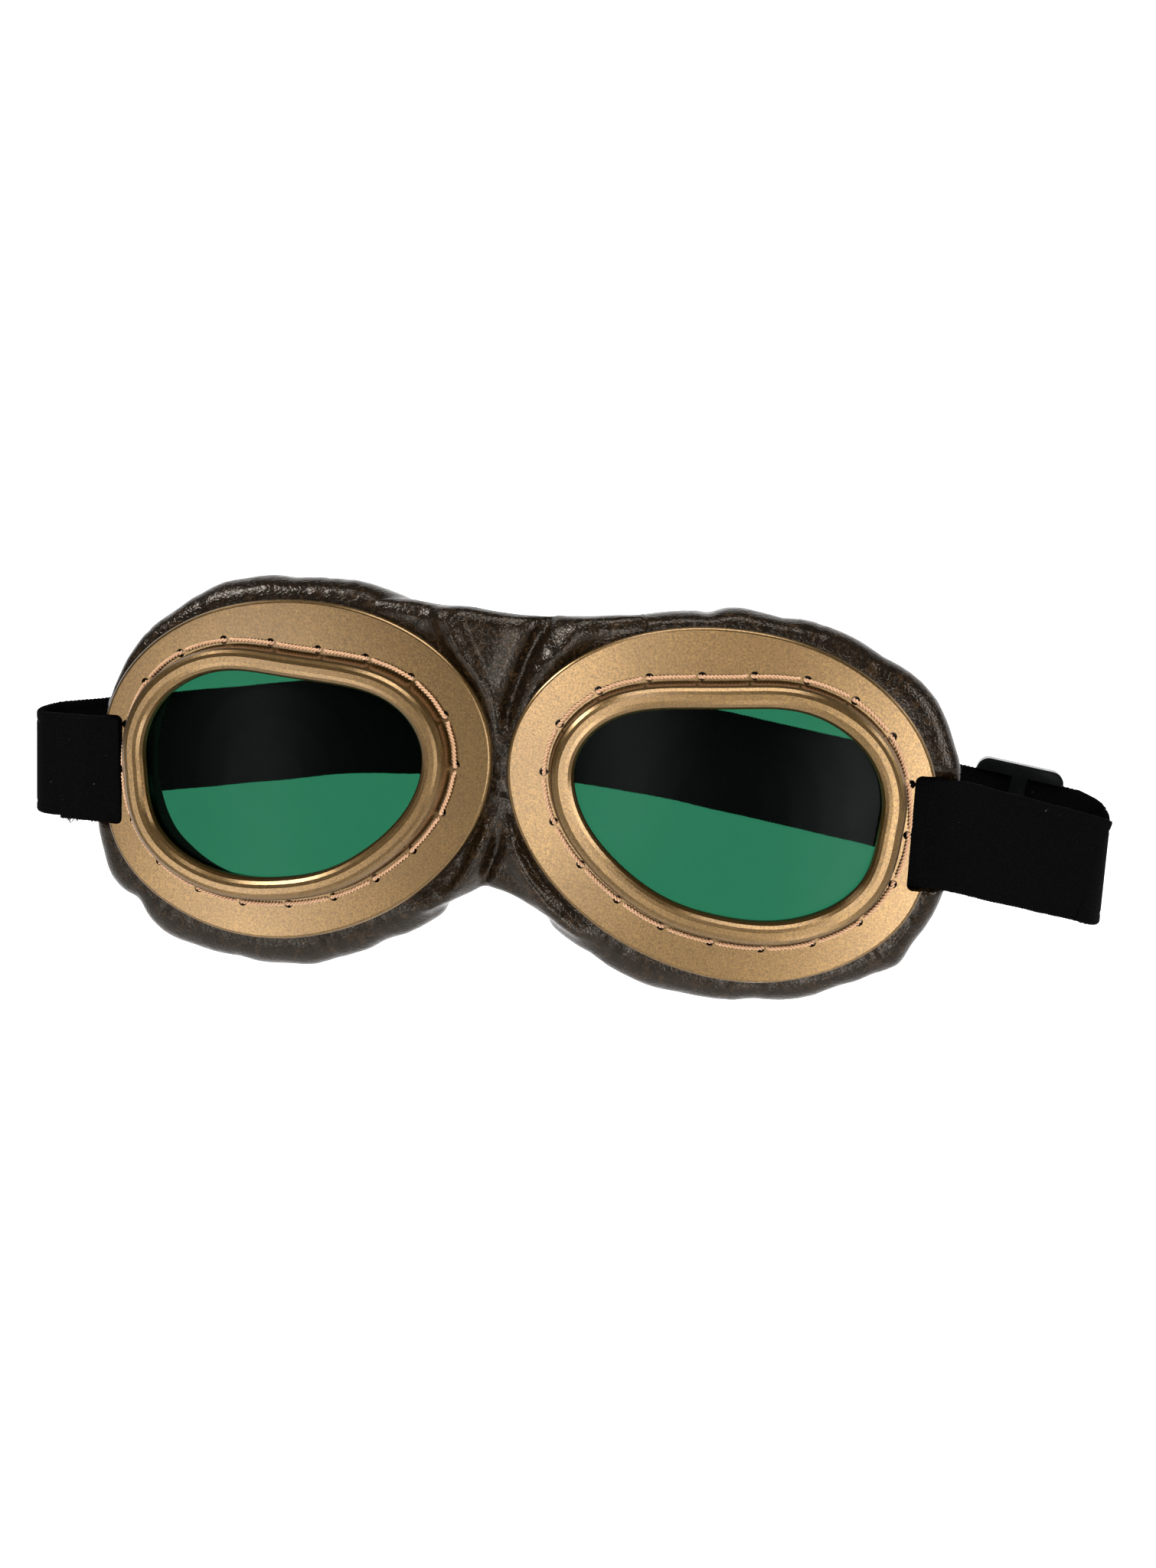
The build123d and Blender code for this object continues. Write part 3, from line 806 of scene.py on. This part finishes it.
def strap_line():
    """Middle line of the whole strap, from the left notch round the back to the right notch, in millimetres."""
    left = strap_half(119.0, 7.0, 8.5, (5.0, 4.9, 3.8), (50.0, 36.6, 4.2))
    right = strap_half(139.0, 9.0, 27.5, (14.0, 15.3, 10.3), (50.0, 40.0, 1.3))
    back = [(-36.0, 39.1, 4.9), (-20.0, 40.6, 5.8), (3.0, 41.6, 5.9), (27.0, 41.2, 4.2), (40.0, 40.6, 2.6)]
    mirrored = [(-x, y, z) for x, y, z in left]
    line = np.array(mirrored + back + right[::-1])
    return smooth_line(line, WEB_SPACING)


def strap_half(reach, radius, depth, drops, back_end):
    """Places from the end behind the flange, past the bend and round the fold, to the straight run's end."""
    ends = in_goggles([
        (33.6, -WEB_DROP, -2.7), (38.0, -WEB_DROP, -2.7), (44.0, -3.8, -2.7), (50.2, -4.1, -2.7)], 1) / MM
    bend = ends[-1]
    centre = np.array([reach - radius, depth])
    to_bend = centre - bend[:2]
    to_back = centre - np.array(back_end[:2])
    first = math.atan2(to_bend[1], to_bend[0]) - math.asin(radius / np.linalg.norm(to_bend)) - math.pi / 2
    last = math.atan2(to_back[1], to_back[0]) + math.asin(radius / np.linalg.norm(to_back)) + math.pi / 2
    places = [tuple(p) for p in ends]
    fold = []
    for index in range(13):
        share = index / 12
        turned = first + (last - first) * share
        across = (centre[0] + radius * math.cos(turned), centre[1] + radius * math.sin(turned))
        fold.append((*across, -bowed(share, drops)))
    start = np.array(fold[0])
    for share in (0.25, 0.5, 0.75):
        places.append(tuple(bend + (start - bend) * share))
    places += fold
    end = np.array(back_end)
    start = np.array(fold[-1])
    for share in (0.25, 0.5, 0.75, 1.0):
        places.append(tuple(start + (end - start) * share))
    return places


def bowed(share, drops):
    """The parabola through three heights at shares 0, a half and 1."""
    first, middle, last = drops
    return first * (1 - share) * (1 - 2 * share) + middle * 4 * share * (1 - share) + last * share * (2 * share - 1)


def smooth_line(points, spacing):
    """Evenly spaced places on a smooth open curve through some points."""
    fine = []
    for i in range(len(points) - 1):
        before, here, after = points[max(i - 1, 0)], points[i], points[i + 1]
        later = points[min(i + 2, len(points) - 1)]
        gap = np.linalg.norm(after - here)
        leave = (after - before) / max(np.linalg.norm(after - before), 1e-6) * gap
        meet = (later - here) / max(np.linalg.norm(later - here), 1e-6) * gap
        t = np.linspace(0, 1, 24, endpoint=False)[:, None]
        fine.append(here * (2 * t ** 3 - 3 * t ** 2 + 1) + leave * (t ** 3 - 2 * t ** 2 + t)
                    + after * (3 * t ** 2 - 2 * t ** 3) + meet * (t ** 3 - t ** 2))
    fine = np.concatenate(fine + [points[-1:]])
    length = np.linalg.norm(np.diff(fine, axis=0), axis=1).sum()
    return evenly(fine, int(length / spacing), False)


def web_section():
    """Places round a strap's cross-section: millimetres across, and out as a share of half its thickness."""
    half = WEB_WIDTH / 2
    widths = np.concatenate([np.linspace(-half + 0.5, -half + 3.2, 7), np.linspace(-half + 5, half - 5, 12),
                             np.linspace(half - 3.2, half - 0.5, 7)])
    section = [(width, 1.0) for width in widths]
    section += [(half - 0.12, 0.72), (half, 0.0), (half - 0.12, -0.72)]
    section += [(width, -1.0) for width in widths[::-1]]
    section += [(-half + 0.12, -0.72), (-half, 0.0), (-half + 0.12, 0.72)]
    return np.array(section)


def webbing(name, line, thickness, seed):
    """A band of webbing along a line: ribs across it, a groove along each selvedge and a knitted edge."""
    along = unit(np.gradient(line, axis=0))
    up = unit(upright(along))
    out = np.cross(along, up)
    half = WEB_WIDTH / 2
    section = web_section()
    reach = lengths_along(line)
    count = len(section)
    edge = np.abs(section[:, 0]) > half - 0.3
    groove = 0.16 * np.exp(-((half - 2.4 - np.abs(section[:, 0])) / 0.35) ** 2)
    ribs = 0.05 * np.sin(2 * math.pi * reach / RIB_PITCH)
    rng = np.random.default_rng(seed)
    picks = np.arange(0, reach[-1] + 2, PICK_PITCH)
    knit = 0.10 * np.sin(2 * math.pi * reach / RIB_PITCH + 0.6)
    knit += np.interp(reach, picks, rng.normal(0, 0.03, len(picks)))
    waver = wave_noise(seed + 72, reach, 14.0, 50.0) * 0.10
    width = section[None, :, 0] + np.sign(section[None, :, 0]) * knit[:, None] * edge[None, :]
    width = width + waver[:, None] * (section[None, :, 0] / half)
    depth = section[None, :, 1] * (thickness / 2 - groove[None, :] + ribs[:, None] * (1 - edge[None, :]))
    grid = line[:, None, :] + up[:, None, :] * width[..., None] + out[:, None, :] * depth[..., None]
    rows = len(line)
    faces = grid_faces(rows, count, False, True)
    faces.append(tuple(reversed(range(count))))
    faces.append(tuple((rows - 1) * count + j for j in range(count)))
    piece = put_mesh(name, grid.reshape(-1, 3) * MM, faces, elastic_finish)
    layer = piece.data.uv_layers.new(name="web")
    for polygon in piece.data.polygons:
        for corner, vertex in zip(polygon.loop_indices, polygon.vertices):
            layer.data[corner].uv = (reach[vertex // count], section[vertex % count][0])
    return piece


def lap_line():
    """The lap's middle line: in front of the left strap, from the notch to past the bend, and a little lower."""
    line = strap_line()
    reach = lengths_along(line)
    picked = line[(reach > LAP_START) & (reach < LAP_START + LAP_LENGTH)]
    along = unit(np.gradient(picked, axis=0))
    front = np.stack([-along[:, 1], along[:, 0], 0 * along[:, 0]], 1)
    return picked + front * LAP_LIFT - np.array([0, 0, LAP_DROP])


def frayed_threads(line, seed):
    """Short loose threads along the lower edge of the lap and down its cut end."""
    rng = np.random.default_rng(seed)
    points, faces = [], []
    sides = 5
    for _ in range(FRAY_COUNT):
        root = line[rng.integers(len(line) // 5, len(line))] + np.array([0, 0, -WEB_WIDTH / 2 + 0.25])
        root = root + np.array([0, rng.uniform(-0.4, 0.4), 0])
        length = rng.uniform(0.6, 1.9)
        lean = rng.normal(0, 0.55, 2)
        curl = rng.normal(0, 0.8, 2)
        start = len(points) * sides
        for step in range(FRAY_STEPS):
            share = step / (FRAY_STEPS - 1)
            middle = root + length * share * np.array([
                lean[0] + curl[0] * share, 0.5 * (lean[1] + curl[1] * share), -1.0 + 0.35 * abs(curl[0]) * share])
            ring = np.arange(sides) / sides * 2 * math.pi
            thin = FRAY_RADIUS * (1 - 0.6 * share)
            points.append(middle + thin * np.stack([np.cos(ring), np.sin(ring), 0 * ring], 1))
        faces += shifted(grid_faces(FRAY_STEPS, sides, False, True), start)
        faces.append(tuple(start + (FRAY_STEPS - 1) * sides + i for i in range(sides)))
    return np.concatenate(points), faces


def sewn_lap():
    """The strap's end turned over and sewn down on the left, with its frayed lower edge."""
    line = lap_line()
    lap = webbing("sewn_lap", line, LAP_THICKNESS, 9)
    threads, faces = frayed_threads(line, 21)
    fringe = put_mesh("fringe", threads * MM, faces, elastic_finish)
    fringe.data.uv_layers.new(name="web")
    with bpy.context.temp_override(active_object=lap, object=lap, selected_editable_objects=[lap, fringe]):
        bpy.ops.object.join()
    return lap


def stitch_line():
    """The line of stitches round one lens, starting at a hole, as the solids have it."""
    line = smooth_loop(OPENING, 26)
    line = smooth_loop(line + outward(line) * STITCH_OUTSET, STITCH_COUNT * STITCH_STEPS)
    return np.roll(line, -int(STITCH_PHASE * len(line)), 0)


def tube_round(line, along, radius, sides):
    """Rings of a round thread along a line in one eyepiece's frame."""
    up = upright(along)
    steep = np.linalg.norm(up, axis=1)[:, None] < 0.3
    up = unit(np.where(steep, np.cross(along, np.array([0.6, 0.8, 0.0])), up))
    beside = np.cross(along, up)
    ring = np.arange(sides) / sides * 2 * math.pi
    return line[:, None] + radius * (up[:, None] * np.cos(ring)[None, :, None]
                                     + beside[:, None] * np.sin(ring)[None, :, None])


def lacing_cord(side, name):
    """Two strands twisted together, laid along the rim's foot and drawn down into each hole."""
    stitches = stitch_line()
    aside = outward(stitches)
    laid = stitches + aside * CORD_SHIFT
    route = []
    for hole in range(STITCH_COUNT):
        for share, height in CORD_DIPS:
            route.append(np.append(laid[int((hole + share) * STITCH_STEPS)], height))
    route = np.array(route)
    line = smooth_line(np.concatenate([route, route[:1]]), CORD_SPACING)[:-1]
    count = len(line)
    along = unit(np.roll(line, -1, 0) - np.roll(line, 1, 0))
    up = unit(upright(along))
    beside = np.cross(along, up)
    turns = round(count * CORD_SPACING / TWIST_PITCH)
    points, faces = [], []
    sides = 8
    for strand in range(2):
        angle = np.arange(count) / count * turns * 2 * math.pi + strand * math.pi
        centre = line + STRAND_OFFSET * (up * np.cos(angle)[:, None] + beside * np.sin(angle)[:, None])
        start = sum(len(p) for p in points)
        points.append(tube_round(centre, along, STRAND_RADIUS, sides).reshape(-1, 3))
        faces += shifted(grid_faces(count, sides, True, True), start)
    return put_mesh(name, in_goggles(np.concatenate(points), side), faces, thread_finish)


# The pieces, what each rides on and which solids each stands for
leather = leather_skin()
strap = webbing("elastic_strap", strap_line(), WEB_THICKNESS, 5)
lap = sewn_lap()
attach(lap, "left_half")
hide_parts("strap_lap_left")

for side, word in ((1, "right"), (-1, "left")):
    lining = pad_lining(side, "pad_" + word)
    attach(lining, word + "_half")
    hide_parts("face_lining_" + word, "foam_pad_" + word)
    lacing = lacing_cord(side, "twisted_lacing_" + word)
    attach(lacing, word + "_half")
    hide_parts("lacing_cord_" + word)

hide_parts("leather_cover_left", "leather_cover_right", "nose_bridge")
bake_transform(leather)

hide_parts("strap_left", "strap_back_span", "strap_right")
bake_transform(strap)

# The solids that stay, by the start of their names, with the longer start first
FINISHES = {
    "eyepiece_frame": gold_finish,
    "lens_retainer": moulding_finish,
    "lens": lens_finish,
    "strap_slider": moulding_finish,
}
for name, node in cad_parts.items():
    for start, finish in FINISHES.items():
        if name.startswith(start):
            node.data.materials.clear()
            node.data.materials.append(finish)
            break

# Studio: a pale floor with a painted glow that sweeps up behind the goggles, even surroundings and soft lamps
curve = np.radians(np.linspace(0, 90, 25))
sweep = [(y, FLOOR_HEIGHT) for y in (-5.0, -2.0, FLOOR_FRONT, FLOOR_REAR)]
sweep += [(1.0 + FLOOR_CURVE * math.sin(turned), FLOOR_HEIGHT + FLOOR_CURVE * (1 - math.cos(turned)))
          for turned in curve]
sweep += [(1.8, 3.2)]
backdrop = put_mesh("floor", [(x, y, z) for y, z in sweep for x in (-4.0, 4.0)],
                    grid_faces(len(sweep), 2, False, False, True), floor_paint_with_glow())


def soft_lamp(name, place, aim, size, power):
    """A rectangular lamp at a place, turned to where it aims."""
    data = bpy.data.lights.new(name, "AREA")
    data.shape = "RECTANGLE"
    data.size, data.size_y = size
    data.energy = power
    lamp = bpy.data.objects.new(name, data)
    lamp.location = place
    lamp.rotation_euler = (Vector(aim) - Vector(place)).to_track_quat("-Z", "Y").to_euler()
    bpy.context.scene.collection.objects.link(lamp)


soft_lamp("top_softbox", (0.05, -0.42, 0.62), (0.0, 0, 0.02), (0.5, 0.22), 2.6)
soft_lamp("middle_strip", (0.032, -0.815, 0.02), (0.03, 0, 0.02), (0.07, 0.5), 1.4)
soft_lamp("right_strip", (0.325, -0.775, -0.26), (0.06, 0, -0.05), (0.08, 0.56), 2.3)
soft_lamp("left_strip", (-0.49, -0.75, -0.27), (-0.05, 0, -0.05), (0.08, 0.5), 1.2)
soft_lamp("left_softbox", (-0.54, -0.38, 0.46), (-0.02, 0, 0), (0.22, 0.22), 3.4)
soft_lamp("right_softbox", (0.75, -0.35, 0.20), (0.03, 0, 0), (0.2, 0.5), 3.0)

world = bpy.data.worlds.new("studio")
world.use_nodes = True
world.node_tree.nodes["Background"].inputs["Color"].default_value = (1.0, 1.0, 1.0, 1)
world.node_tree.nodes["Background"].inputs["Strength"].default_value = 0.18
bpy.context.scene.world = world
bpy.context.scene.view_settings.view_transform = "Standard"
